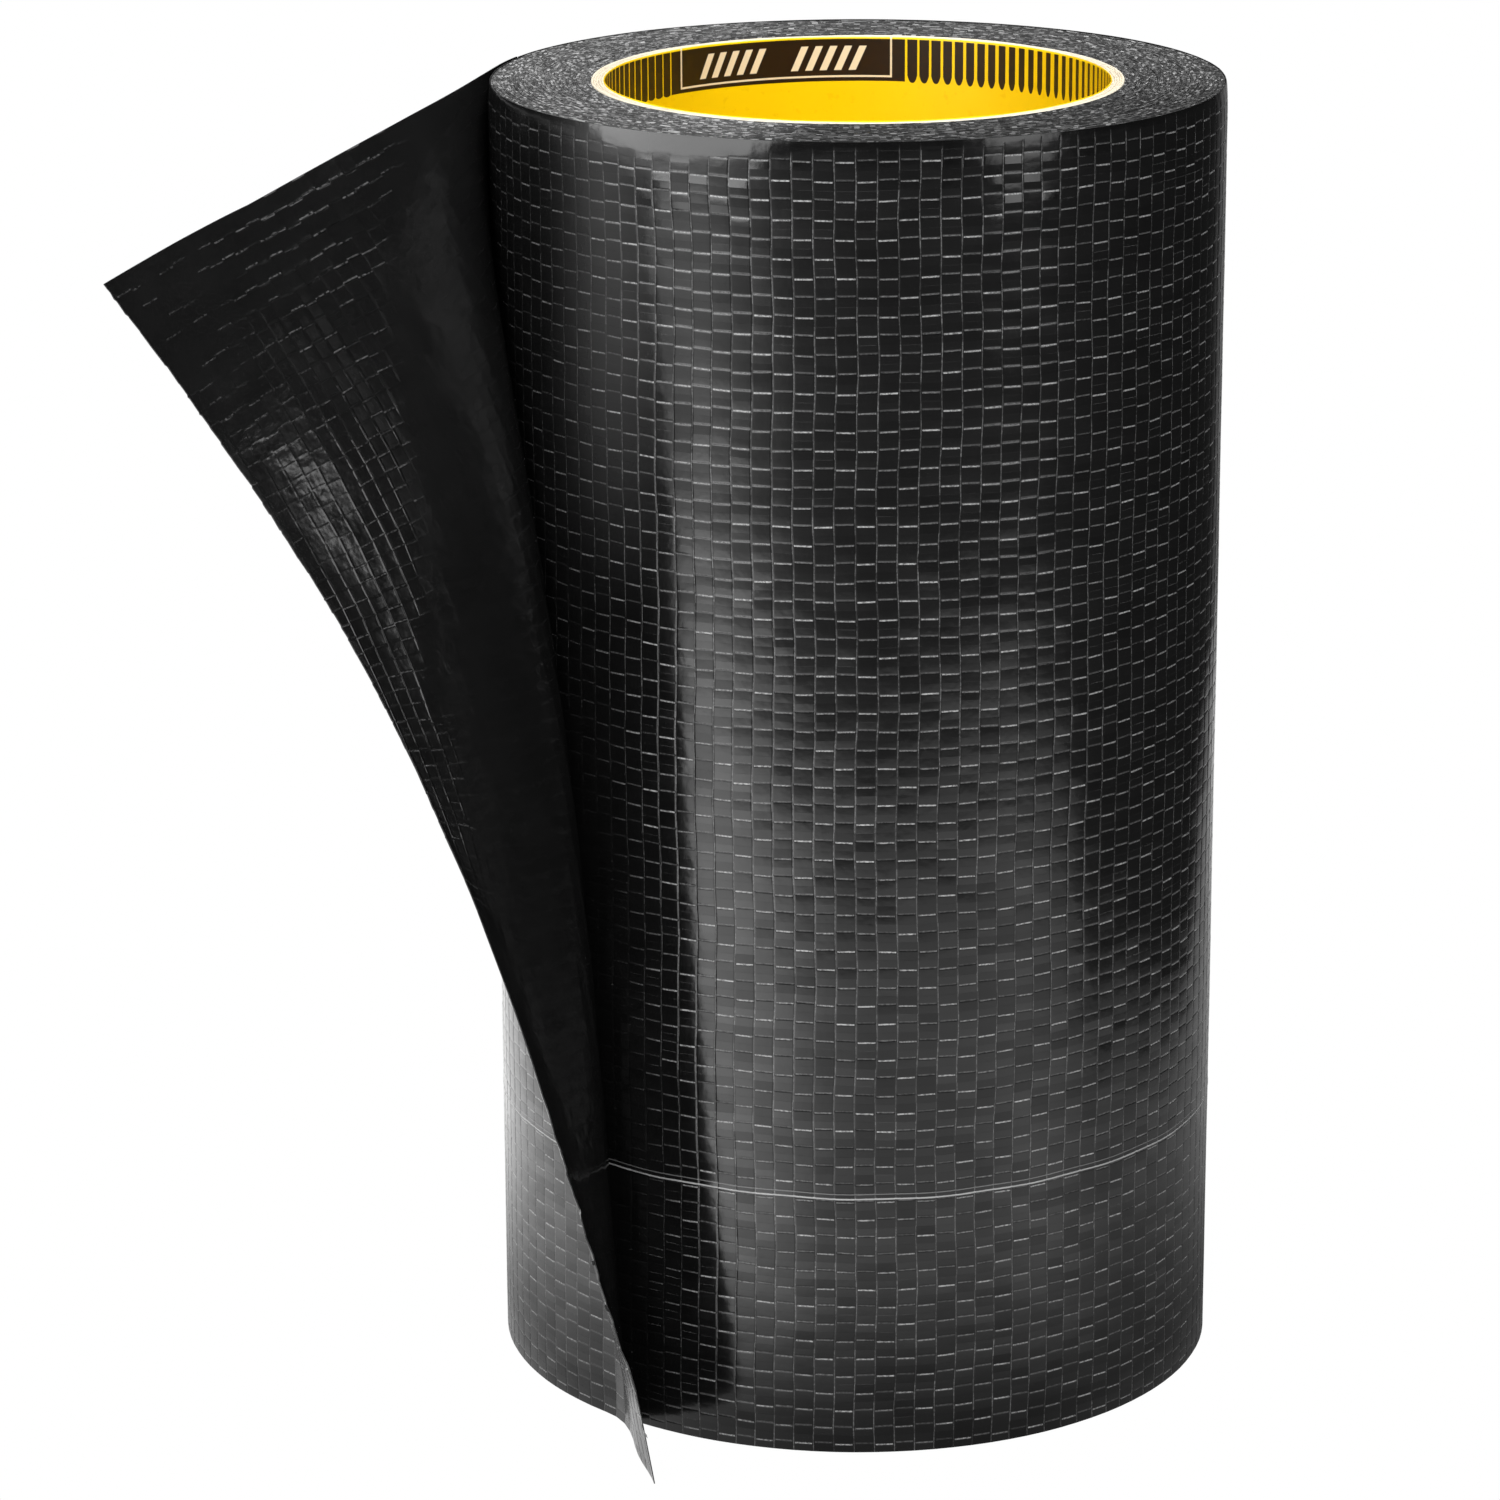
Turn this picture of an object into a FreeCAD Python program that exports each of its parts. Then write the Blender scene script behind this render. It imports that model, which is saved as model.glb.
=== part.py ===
"""Duct tape roll: a 200 mm wide woven tape on a paperboard core, with its free end peeled open.

Millimetres, +Z up. The roll stands on its end: the origin is the centre of its lower face.
The tape winds counter-clockwise seen from above, and its free end points along -Y.
"""

import FreeCAD, Part
import os
from math import cos, pi, radians, sin

# Driving dimensions of the roll
TAPE_WIDTH = 200.0
ROLL_RADIUS = 56.0
BORE_RADIUS = 38.1
LINER_THICKNESS = 0.12
PLY_THICKNESS = 0.36
PLY_COUNT = 5
PLY_GAP = 0.02

# The tape is a laminate: (layer name, inner face, outer face), measured from its middle plane
FILM, CLOTH, ADHESIVE = "film", "cloth", "adhesive"
LAYERS = ((FILM, 0.065, 0.125), (CLOTH, -0.055, 0.055), (ADHESIVE, -0.125, -0.065))
TAPE_THICKNESS = 0.25
TURN_GAP = 0.06
TURN_PITCH = TAPE_THICKNESS + TURN_GAP

# The last turn ends and the tail root begins at this angle, hidden at the back left
SPLICE_ANGLE = radians(160.0)
SPLICE_GAP = radians(0.06)

# Peel line, where the tape lifts off the roll: its angle at the lower edge and its two bends upward
PEEL_ANGLE = 226.0
PEEL_SLOPE = 30.0
PEEL_RUN_OUT = 31.0
RUN_OUT_POWER = 6

# Cut end of the tape, a cubic curve from its lower corner to its upper corner
CUT_LOWER = FreeCAD.Vector(-31.6, -68.6, 0.0)
CUT_LOWER_PULL = FreeCAD.Vector(-54.8, -63.1, 98.2)
CUT_UPPER_PULL = FreeCAD.Vector(-61.8, -83.5, 127.7)
CUT_UPPER = FreeCAD.Vector(-104.9, -72.6, 183.2)

# Plan direction of the sheet where it ends, at its lower and upper edge
END_HEADING_LOWER = 279.0
END_HEADING_UPPER = 246.7
END_STIFFNESS = 0.35
PEEL_LEAD = 4.0
PEEL_LEAD_GAIN = 13.0

# Two straight lines across the free sheet, where it swings: the height share of the lower end on the
# cut edge, the share of the free upper edge where the line comes out, and half the bend strip's width
SWING_CUT_SHARE, SWING_TOP_SHARE, SWING_HALF_WIDTH = 0.20, 0.275, 4.0
CORNER_CUT_SHARE, CORNER_TOP_SHARE, CORNER_HALF_WIDTH = 0.70, 0.625, 2.0
STRIP_GAP = 0.05

# Torn ribbon ends of the cloth at the cut edge: (height share, length, width, lean in degrees)
FRAYS = ((0.10, 2.2, 1.0, 12.0), (0.13, 3.4, 0.8, -8.0), (0.16, 1.8, 1.2, 20.0), (0.03, 2.6, 0.7, -15.0))
FRAY_THICKNESS = 0.06
FRAY_CLEARANCE = 0.4
FRAY_TIP_SHARES = 1 / 3, 1 / 2.5
FRAY_NOTCH_SHARE = 0.8
EDGE_STEP = 0.01
BACK_RUN = 0.9

# Poles of the sheet: rows up the width, poles along each row and the degree of the surface
SHEET_ROWS = 25
ROW_POINTS = 81
DEGREE = 3
CURVE_STEPS = 240
HALF_SPACE = 400.0


def plan(radius, angle, z=0.0):
    """Point at a radius and an angle about the roll's axis."""
    return FreeCAD.Vector(radius * cos(angle), radius * sin(angle), z)


def export(shape, name):
    """Write one sub-part."""
    shape.exportStep("parts/" + name + ".step")


def tube(inner_radius, outer_radius):
    """Full-width tube on the roll's axis."""
    outer = Part.makeCylinder(outer_radius, TAPE_WIDTH)
    return outer.cut(Part.makeCylinder(inner_radius, TAPE_WIDTH))


def spiral_turn_edges(start_radius, start_angle):
    """Two half circles that grow by one turn pitch from the splice round to itself."""
    second_centre = plan(TURN_PITCH / 2, SPLICE_ANGLE)
    axis = FreeCAD.Vector(0, 0, 1)
    first = Part.Circle(FreeCAD.Vector(), axis, start_radius)
    second = Part.Circle(second_centre, axis, start_radius + TURN_PITCH / 2)
    return [
        Part.ArcOfCircle(first, start_angle, SPLICE_ANGLE + pi).toShape(),
        Part.ArcOfCircle(second, SPLICE_ANGLE + pi, SPLICE_ANGLE + 2 * pi).toShape(),
    ]


def spiral_turn(inner_radius, outer_radius):
    """One full turn of a layer, a band between two growing spirals."""
    start_angle = SPLICE_ANGLE + SPLICE_GAP
    inner = spiral_turn_edges(inner_radius, start_angle)
    outer = spiral_turn_edges(outer_radius, start_angle)
    start = Part.makeLine(plan(inner_radius, start_angle), plan(outer_radius, start_angle))
    grown_inner = plan(inner_radius + TURN_PITCH, SPLICE_ANGLE)
    grown_outer = plan(outer_radius + TURN_PITCH, SPLICE_ANGLE)
    end = Part.makeLine(grown_inner, grown_outer)
    outline = Part.Wire(Part.__sortEdges__(inner + outer + [start, end]))
    return Part.Face(outline).extrude(FreeCAD.Vector(0, 0, TAPE_WIDTH))


def wound_turns(inner_radius, outer_radius):
    """All the inner turns as one solid, with the last of them stepping down at the splice."""
    rim = spiral_turn_edges(outer_radius, SPLICE_ANGLE)
    step = Part.makeLine(plan(outer_radius, SPLICE_ANGLE), plan(outer_radius + TURN_PITCH, SPLICE_ANGLE))
    outline = Part.Wire(Part.__sortEdges__(rim + [step]))
    disc = Part.Face(outline).extrude(FreeCAD.Vector(0, 0, TAPE_WIDTH))
    return disc.cut(Part.makeCylinder(inner_radius, TAPE_WIDTH))


def bezier(t, controls):
    """Point at t on the Bezier curve of the control points."""
    while len(controls) > 1:
        controls = [a * (1 - t) + b * t for a, b in zip(controls, controls[1:])]
    return controls[0]


def peel_angle(share):
    """Angle where the tape leaves the roll, at a share of its width above the lower edge."""
    return radians(PEEL_ANGLE - PEEL_SLOPE * share**2 - PEEL_RUN_OUT * share**RUN_OUT_POWER)


def cut_edge(share):
    """Point on the cut end."""
    return bezier(share, [CUT_LOWER, CUT_LOWER_PULL, CUT_UPPER_PULL, CUT_UPPER])


def free_curve(share):
    """Middle-plane curve of the free sheet at one height share, from the peel line to the cut end."""
    radius = ROLL_RADIUS - TAPE_THICKNESS / 2
    angle = peel_angle(share)
    start = plan(radius, angle)
    end = cut_edge(share)
    drop = end.z - TAPE_WIDTH * share
    flat_end = FreeCAD.Vector(end.x, end.y, 0)
    reach = (flat_end - start).Length
    lead = FreeCAD.Vector(-sin(angle), cos(angle), 0) * (PEEL_LEAD + PEEL_LEAD_GAIN * share**RUN_OUT_POWER)
    heading = radians(END_HEADING_LOWER + (END_HEADING_UPPER - END_HEADING_LOWER) * share)
    pull_end = flat_end - FreeCAD.Vector(cos(heading), sin(heading), 0) * (END_STIFFNESS * reach)
    controls = [start, start + lead, start + lead * 2, pull_end, flat_end]
    points = [bezier(i / CURVE_STEPS, controls) for i in range(CURVE_STEPS + 1)]
    lengths = running_lengths(points)
    for point, length in zip(points, lengths):
        point.z = TAPE_WIDTH * share + drop * (length / lengths[-1]) ** 2
    return points


def running_lengths(points):
    """Length along a polyline at each of its points."""
    lengths = [0.0]
    for before, after in zip(points, points[1:]):
        lengths.append(lengths[-1] + (after - before).Length)
    return lengths


def at_length(points, lengths, length):
    """Point at a length along a polyline."""
    index = 1
    while index < len(points) - 1 and lengths[index] < length:
        index += 1
    part = (length - lengths[index - 1]) / (lengths[index] - lengths[index - 1])
    return points[index - 1] + (points[index] - points[index - 1]) * part


def free_point(share, run):
    """Point on the free sheet at a height share and a share of the run from peel line to cut end."""
    points = free_curve(share)
    lengths = running_lengths(points)
    return at_length(points, lengths, run * lengths[-1])


def sheet_row(share):
    """Evenly spaced middle-plane points from the splice to the cut end."""
    radius = ROLL_RADIUS - TAPE_THICKNESS / 2
    start_angle = SPLICE_ANGLE + SPLICE_GAP
    sweep = peel_angle(share) - start_angle
    bonded = sweep * radius
    free = free_curve(share)
    lengths = running_lengths(free)
    total = bonded + lengths[-1]
    row = []
    for i in range(ROW_POINTS):
        run = total * i / (ROW_POINTS - 1)
        if run <= bonded:
            row.append(plan(radius, start_angle + run / radius, TAPE_WIDTH * share))
        else:
            row.append(at_length(free, lengths, run - bonded))
    return row


def sheet_grid():
    """Middle-plane points of the whole tail, one row per height."""
    return [sheet_row(i / (SHEET_ROWS - 1)) for i in range(SHEET_ROWS)]


def sheet_normals(grid):
    """Unit normals of the grid, away from the roll."""
    rows, columns = len(grid), len(grid[0])
    normals = []
    for i in range(rows):
        upper, lower = grid[min(i + 1, rows - 1)], grid[max(i - 1, 0)]
        row = []
        for j in range(columns):
            along = grid[i][min(j + 1, columns - 1)] - grid[i][max(j - 1, 0)]
            row.append(along.cross(upper[j] - lower[j]).normalize())
        normals.append(row)
    return normals


def clamped_knots(count):
    """Evenly spaced knots and their multiplicities for a curve that starts and ends on its poles."""
    spans = count - DEGREE
    return [float(i) for i in range(spans + 1)], [DEGREE + 1] + [1] * (spans - 1) + [DEGREE + 1]


def offset_surface(grid, normals, distance):
    """Smooth surface whose poles are the grid moved along its normals."""
    moved = [[p + n * distance for p, n in zip(points, row)] for points, row in zip(grid, normals)]
    row_knots, row_counts = clamped_knots(len(moved))
    column_knots, column_counts = clamped_knots(len(moved[0]))
    surface = Part.BSplineSurface()
    surface.buildFromPolesMultsKnots(
        moved, row_counts, column_counts, row_knots, column_knots, False, False, DEGREE, DEGREE
    )
    return surface


def sheet_solid(grid, normals, inner, outer):
    """Closed solid of one layer between two offsets of the sheet."""
    faces = []
    borders = []
    for distance in (inner, outer):
        surface = offset_surface(grid, normals, distance)
        first_u, last_u, first_v, last_v = surface.bounds()
        faces.append(surface.toShape())
        borders.append((
            surface.uIso(first_u).toShape(),
            surface.uIso(last_u).toShape(),
            surface.vIso(first_v).toShape(),
            surface.vIso(last_v).toShape(),
        ))
    for inner_border, outer_border in zip(*borders):
        faces.append(Part.makeRuledSurface(inner_border, outer_border))
    shell = Part.makeShell(faces)
    shell.sewShape()
    solid = Part.Solid(shell.Shells[0] if shell.Shells else shell)
    if solid.Volume < 0:
        solid.reverse()
    return solid


def half_space(point, normal):
    """Large block on the far side of a plane."""
    block = Part.makeBox(
        2 * HALF_SPACE, 2 * HALF_SPACE, HALF_SPACE, FreeCAD.Vector(-HALF_SPACE, -HALF_SPACE, 0)
    )
    block.Placement = FreeCAD.Placement(point, FreeCAD.Rotation(FreeCAD.Vector(0, 0, 1), normal))
    return block


def bend_plane(cut_share, top_share):
    """Point and cutting normal of a straight line across the sheet, the normal towards the corner."""
    lower = cut_edge(cut_share)
    upper = free_point(1.0, top_share)
    axis = (upper - lower).normalize()
    to_corner = CUT_UPPER - lower
    off_sheet = axis.cross(to_corner).normalize()
    return lower, off_sheet.cross(axis)


def split_sheet(sheet, point, normal, half_width):
    """The three parts of a sheet: before a bend strip, the strip, and after it."""
    before_strip = half_space(point - normal * half_width, normal)
    after_strip = half_space(point + normal * half_width, normal)
    strip_start = half_space(point - normal * (half_width - STRIP_GAP), normal)
    strip_end = half_space(point + normal * (half_width - STRIP_GAP), normal)
    before = sheet.cut(before_strip)
    strip = sheet.common(strip_start).cut(strip_end)
    after = sheet.common(after_strip)
    return before, strip, after


def frayed_ribbons():
    """Torn ends of single cloth ribbons, standing out of the cut edge."""
    ribbons = []
    for share, length, width, lean in FRAYS:
        base = cut_edge(share)
        up = (cut_edge(share + EDGE_STEP) - base).normalize()
        back = free_point(share, BACK_RUN)
        out = (base - back).normalize()
        normal = out.cross(up).normalize()
        out = FreeCAD.Rotation(normal, lean).multVec(out)
        side = normal.cross(out)
        root = base + out * FRAY_CLEARANCE
        first_tip, second_tip = FRAY_TIP_SHARES
        corners = [
            root - side * (width / 2),
            root + side * (width / 2),
            root + side * (width * first_tip) + out * length,
            root + out * (length * FRAY_NOTCH_SHARE),
            root - side * (width * second_tip) + out * length,
        ]
        outline = Part.makePolygon([c - normal * (FRAY_THICKNESS / 2) for c in corners + corners[:1]])
        ribbons.append(Part.Face(outline).extrude(normal * FRAY_THICKNESS))
    return Part.makeCompound(ribbons)


def make_core():
    """Printed liner and the paperboard plies, from the bore outward."""
    radius = BORE_RADIUS + LINER_THICKNESS
    export(tube(BORE_RADIUS, radius), "core_liner")
    for i in range(PLY_COUNT):
        inner = radius + PLY_GAP
        radius = inner + PLY_THICKNESS
        name = "core_face_ply" if i == PLY_COUNT - 1 else "core_ply_%d" % (i + 1)
        export(tube(inner, radius), name)
    return radius


def make_turns(core_radius):
    """Inner turns and the three layers of the last full turn."""
    middle = ROLL_RADIUS - TAPE_THICKNESS / 2 - TURN_PITCH
    for layer, inner, outer in LAYERS:
        export(spiral_turn(middle + inner, middle + outer), "outer_turn_" + layer)
    pack_radius = middle - TAPE_THICKNESS / 2 - TURN_GAP
    export(wound_turns(core_radius + PLY_GAP, pack_radius), "wound_turns")


def make_tail():
    """Root, swinging flap and corner of the free end, each in three layers, with their bend strips."""
    grid = sheet_grid()
    normals = sheet_normals(grid)
    swing_point, swing_normal = bend_plane(SWING_CUT_SHARE, SWING_TOP_SHARE)
    corner_point, corner_normal = bend_plane(CORNER_CUT_SHARE, CORNER_TOP_SHARE)
    for layer, inner, outer in LAYERS:
        sheet = sheet_solid(grid, normals, inner, outer)
        root, swing_strip, free = split_sheet(sheet, swing_point, swing_normal, SWING_HALF_WIDTH)
        flap, corner_strip, corner = split_sheet(free, corner_point, corner_normal, CORNER_HALF_WIDTH)
        export(root, "tail_root_" + layer)
        export(swing_strip, "swing_bend_" + layer)
        export(flap, "tail_flap_" + layer)
        export(corner_strip, "corner_bend_" + layer)
        export(corner, "tail_corner_" + layer)
    export(frayed_ribbons(), "frayed_ribbons")


os.makedirs("parts", exist_ok=True)
make_turns(make_core())
make_tail()
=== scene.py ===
import math

import bpy
import numpy as np
from mathutils import Matrix, Vector


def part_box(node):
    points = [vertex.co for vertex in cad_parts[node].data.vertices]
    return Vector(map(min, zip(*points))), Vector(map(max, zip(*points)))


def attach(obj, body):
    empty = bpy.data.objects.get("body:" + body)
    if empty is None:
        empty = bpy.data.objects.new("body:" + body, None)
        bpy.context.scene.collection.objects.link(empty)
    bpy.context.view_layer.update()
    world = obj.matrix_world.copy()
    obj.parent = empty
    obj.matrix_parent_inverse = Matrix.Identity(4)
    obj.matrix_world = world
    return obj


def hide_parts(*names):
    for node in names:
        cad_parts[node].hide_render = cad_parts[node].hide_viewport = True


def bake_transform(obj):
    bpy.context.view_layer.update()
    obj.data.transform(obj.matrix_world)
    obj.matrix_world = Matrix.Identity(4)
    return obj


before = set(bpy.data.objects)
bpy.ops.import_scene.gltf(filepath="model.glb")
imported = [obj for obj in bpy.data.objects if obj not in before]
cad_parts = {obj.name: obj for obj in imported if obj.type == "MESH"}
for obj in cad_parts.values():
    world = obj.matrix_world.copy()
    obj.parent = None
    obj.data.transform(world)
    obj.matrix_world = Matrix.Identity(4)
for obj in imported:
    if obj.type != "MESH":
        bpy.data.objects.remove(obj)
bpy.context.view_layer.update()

MM = 0.001
TAU = 2 * math.pi

# Everything below is in millimetres until a mesh is made. Camera, floor and lights are in metres.


def node_box(name):
    """Lowest and highest corner of a CAD node, in millimetres."""
    lo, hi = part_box(name)
    return np.array(lo) / MM, np.array(hi) / MM


# ---- sizes from the frame
TURN_BOX = node_box("outer_turn_film")
WIDTH = float(TURN_BOX[1][2] - TURN_BOX[0][2])
TURN_RADIUS = float(-TURN_BOX[0][1])  # film face of the last turn, over its first half circle
PITCH = 0.31  # from one turn to the next
ROLL_RADIUS = TURN_RADIUS + PITCH
TAPE = 0.25
SPLICE = math.radians(160.0)  # where the last full turn starts
SPLICE_GAP = math.radians(0.06)
PACK_RADIUS = ROLL_RADIUS - 2 * PITCH
BORE_RADIUS = 38.1
LINER = 0.12
CORE_GAP = 0.02

# ---- the weave of flat ribbons
COLUMN, ROW = 3.05, 2.8  # one cell along the tape and up it
WEFT_HALF = 1.25
SHOULDER = 0.34  # from a groove's bottom to its shoulder
GROOVE = 0.085
UNEVEN = 0.035  # depth of the film's slow unevenness
SELVEDGE, FOOT_SELVEDGE = 1.0, 0.5  # smooth bands along the upper and lower edge
BAND_EXTRA, BAND_SPREAD = 3.0, 15.0  # the upper band is wider about LIFT_PLACE
CURL, CURL_HEIGHT = 0.22, 5.0
SEAM_HEIGHT, SEAM_RISE = 41.0, 0.06
PILLOW = 0.22  # share of each ribbon's own slope in its shading
LIP, LIP_HEIGHT = 0.05, 0.5

# Two places along the last turn where its upper edge stands slightly off
LIFT_PLACE, LIFT_SPREAD, LIFT_RISE, LIFT_HEIGHT = 79.0, 13.0, 0.45, 12.0
NEXT_PLACE, NEXT_SPREAD, NEXT_RISE, NEXT_HEIGHT = 130.0, 12.0, 0.35, 20.0

# ---- the tail
PEEL = (226.0, 30.0, 31.0, 6)  # peel angle at the foot, its two falls and the second's power
CUT_EDGE = (
    (-31.6, -68.6, 0.0), (-54.8, -63.1, 98.2), (-61.8, -83.5, 127.7), (-104.9, -72.6, 183.2),
)
END_HEADINGS = (279.0, 246.7)
END_STIFFNESS = 0.35
LEAD, LEAD_GAIN = 4.0, 13.0
MIDDLE = ROLL_RADIUS - TAPE / 2
EDGE_SAG = 24.6
TIP_TURN = ((0, 1.7), (10, 2.5), (20, 1.6), (40, 1.1), (70, 0.6), (100, 0.0))  # height, inward
TABLE_STEP = 0.5
TABLE_ROWS = 201
CURVE_STEPS = 400

SWING_POINT = np.array((-43.994, -67.950, 51.434))
SWING_NORMAL = np.array((-0.6505, -0.7354, 0.1897))
SWING_BLEND = 9.0
CORNER_POINT = np.array((-74.445, -75.503, 137.713))
CORNER_NORMAL = np.array((-0.7234, -0.6407, 0.2572))
CORNER_BLEND = 8.0
PIECE_SPLIT = 14.0
BULGE, BULGE_LENGTH = 1.9, 34.0


def smooth(x):
    x = np.clip(x, 0.0, 1.0)
    return x * x * (3 - 2 * x)


def hump(x, centre, spread):
    """Bell curve, 1 at its centre."""
    return np.exp(-(((x - centre) / spread) ** 2))


def direction(angle):
    return np.stack([np.cos(angle), np.sin(angle)], -1)


def waves(u, v):
    """Slow unevenness of the tape, from -1 to 1."""
    return (
        0.36 * np.sin(TAU * (u / 43.0 + v / 71.0) + 1.0)
        + 0.28 * np.sin(TAU * (u / 27.0 - v / 53.0) + 2.3)
        + 0.20 * np.sin(TAU * (u / 16.5 + v / 23.0) + 0.4)
        + 0.16 * np.sin(TAU * (u / 11.0 - v / 14.5) + 4.1)
    )


def wobble(u, v):
    """Sideways drift of the woven ribbons."""
    along = 0.16 * np.sin(TAU * (v / 47.0 + u / 160.0))
    along = along + 0.07 * np.sin(TAU * (v / 13.0 - u / 37.0) + 1.7)
    up = 0.15 * np.sin(TAU * (u / 61.0 - v / 190.0) + 0.6)
    up = up + 0.07 * np.sin(TAU * (u / 15.0 + v / 31.0) + 2.9)
    return along, up


def drifted(u, v):
    """Height of each place with the ribbons' drift, which fades out at the tape's edges."""
    return np.clip(v + wobble(u, v)[1] * smooth(np.minimum(v, WIDTH - v) / 4.0), 0.0, WIDTH)


def weave_lines(first, last, pitch, start=0.0):
    """Grid lines over the ribbons' edges: each line's place and whether it is in a groove."""
    places, grooves = [first], [0.0]
    i = math.floor((first - start) / pitch) - 1
    while start + i * pitch < last + pitch:
        for offset, groove in ((-SHOULDER, 0.0), (0.0, 1.0), (SHOULDER, 0.0)):
            place = start + i * pitch + offset
            if first + 0.15 < place < last - 0.15:
                places.append(place)
                grooves.append(groove)
        i += 1
    return np.array(places + [last]), np.array(grooves + [0.0])


def selvedge_height(u):
    """Height where the woven part ends below the smooth band."""
    ragged = 0.25 * np.sin(u / 4.1) + 0.2 * np.sin(u / 2.3 + 1.0) + 0.15 * np.sin(u / 9.7)
    return WIDTH - SELVEDGE - BAND_EXTRA * hump(u, LIFT_PLACE, BAND_SPREAD) + ragged


def weave_grid(u_first, u_last):
    """Weave places (u, v) and groove depth share at each grid point, rows up the width."""
    us, gu = weave_lines(u_first, u_last, COLUMN)
    vs, gv = weave_lines(0.0, WIDTH, ROW, ROW / 2)
    seam = [SEAM_HEIGHT - 0.25, SEAM_HEIGHT, SEAM_HEIGHT + 0.25]
    rim = [WIDTH - 1.4, WIDTH - 0.8, WIDTH - LIP_HEIGHT, WIDTH - LIP_HEIGHT / 2]
    keep = np.abs(vs - SEAM_HEIGHT) > 0.4
    vs = np.concatenate([vs[keep], seam, rim])
    gv = np.concatenate([gv[keep], np.zeros(len(seam) + len(rim))])
    order = np.argsort(vs)
    vs, gv = vs[order], gv[order]
    u, v = np.meshgrid(us, vs)
    column = np.floor(u / COLUMN)
    row = np.floor((v + SHOULDER + 0.05) / ROW - 0.5)
    inside = np.abs(u / COLUMN - np.round(u / COLUMN)) * COLUMN
    slide = np.where((column + row) % 2 == 0, -1.0, 1.0) * (ROW / 2 - WEFT_HALF)
    slide = slide * np.clip(inside / SHOULDER, 0, 1)
    near_line = (gv[:, None] > 0) | (np.abs(((v / ROW) % 1.0) - 0.5) * ROW < SHOULDER + 0.02)
    edge = np.minimum(v, WIDTH - v)
    slide = slide * near_line * (edge > 1.0)
    groove = 1 - (1 - gu[None, :]) * (1 - gv[:, None])
    groove = groove * (1 - selvedge_share(u, v)) * smooth((v - FOOT_SELVEDGE) / 0.6)
    return u, v + slide, groove


def selvedge_share(u, v):
    """1 on the smooth band along the upper edge of the tape, 0 on the woven part."""
    return 1 - smooth((selvedge_height(u) - v) / 1.2 + 0.5)


def seam_rise(v):
    """Height of the pressed line that runs along the tape."""
    return SEAM_RISE * np.clip(1 - np.abs(v - SEAM_HEIGHT) / 0.2, 0, 1)


# ---- meshes
def grid_normals(grid):
    """Unit normals of a grid of points, away from the roll."""
    normals = np.cross(np.gradient(grid, axis=1), np.gradient(grid, axis=0))
    return normals / np.linalg.norm(normals, axis=-1, keepdims=True)


def soften_shading(mesh, normals, shown):
    """Shade the shown slots' faces with their own normals mixed with the unwoven surface's."""
    count = len(mesh.loops)
    own, vertex = np.zeros(count * 3), np.zeros(count, int)
    mesh.corner_normals.foreach_get("vector", own)
    mesh.loops.foreach_get("vertex_index", vertex)
    slot = np.zeros(len(mesh.polygons), int)
    size = np.zeros(len(mesh.polygons), int)
    mesh.polygons.foreach_get("material_index", slot)
    mesh.polygons.foreach_get("loop_total", size)
    own = own.reshape(-1, 3)
    wanted = own * PILLOW + normals[vertex] * (1 - PILLOW)
    wanted /= np.linalg.norm(wanted, axis=1, keepdims=True)
    use = np.isin(np.repeat(slot, size), shown)
    mesh.normals_split_custom_set(np.where(use[:, None], wanted, own).tolist())


def link(name, data):
    """New object in the scene."""
    obj = bpy.data.objects.new(name, data)
    bpy.context.scene.collection.objects.link(obj)
    return obj


def make_object(name, points, faces, attributes=None, slots=None, materials=()):
    """Mesh object from millimetre points, smooth except across sharp corners."""
    mesh = bpy.data.meshes.new(name)
    mesh.from_pydata((np.asarray(points) * MM).tolist(), [], faces)
    for key, values in (attributes or {}).items():
        layer = mesh.attributes.new(key, "FLOAT", "POINT")
        layer.data.foreach_set("value", np.asarray(values, np.float32))
    for material in materials:
        mesh.materials.append(material)
    if slots is not None:
        mesh.polygons.foreach_set("material_index", np.asarray(slots, np.int32))
    mesh.polygons.foreach_set("use_smooth", np.ones(len(mesh.polygons), bool))
    mesh.validate()
    mesh.set_sharp_from_angle(angle=math.radians(50))
    mesh.update()
    return link(name, mesh)


def on_roll(obj, slot, *nodes):
    """Show a mesh in place of CAD nodes that belong to the roll."""
    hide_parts(*nodes)
    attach(obj, "roll")


def border(faces, count):
    """Directed edges that belong to one face only."""
    edges = []
    for face in faces:
        edges.extend(zip(face, face[1:] + face[:1]))
    edges = np.array(edges, np.int64)
    forward = edges[:, 0] * count + edges[:, 1]
    backward = edges[:, 1] * count + edges[:, 0]
    return edges[~np.isin(forward, backward)].tolist()


def sheet_object(name, outer, inner, faces, attributes, normals):
    """Closed sheet between two faces of the same layout: film, adhesive and cut edges."""
    used = np.unique(np.concatenate([np.array(f) for f in faces]))
    index = {int(old): new for new, old in enumerate(used)}
    faces = [[index[i] for i in face] for face in faces]
    outer, inner = outer[used], inner[used]
    count = len(used)
    walls = [[b, a, a + count, b + count] for a, b in border(faces, count)]
    backs = [[i + count for i in reversed(face)] for face in faces]
    slots = [0] * len(faces) + [1] * len(backs) + [2] * len(walls)
    doubled = {k: np.concatenate([values[used], values[used]]) for k, values in attributes.items()}
    points = np.concatenate([outer, inner])
    obj = make_object(name, points, faces + backs + walls, doubled, slots, TAPE_MATERIALS)
    soften_shading(obj.data, np.concatenate([normals[used], -normals[used]]), (0, 1))
    return obj


def soften_rims(theta, height, order):
    """Heights of a ply's ring with its rims drawn in a little, unevenly round the ring."""
    ripple = 0.03 * np.sin(5 * theta + order) + 0.02 * np.sin(13 * theta + 2 * order)
    at_rim = (np.abs(height - WIDTH / 2) > WIDTH / 2 - 1.0).astype(float)
    sign = np.where(height > WIDTH / 2, -1.0, 1.0)
    return height + sign * at_rim * (0.05 + ripple)


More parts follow.
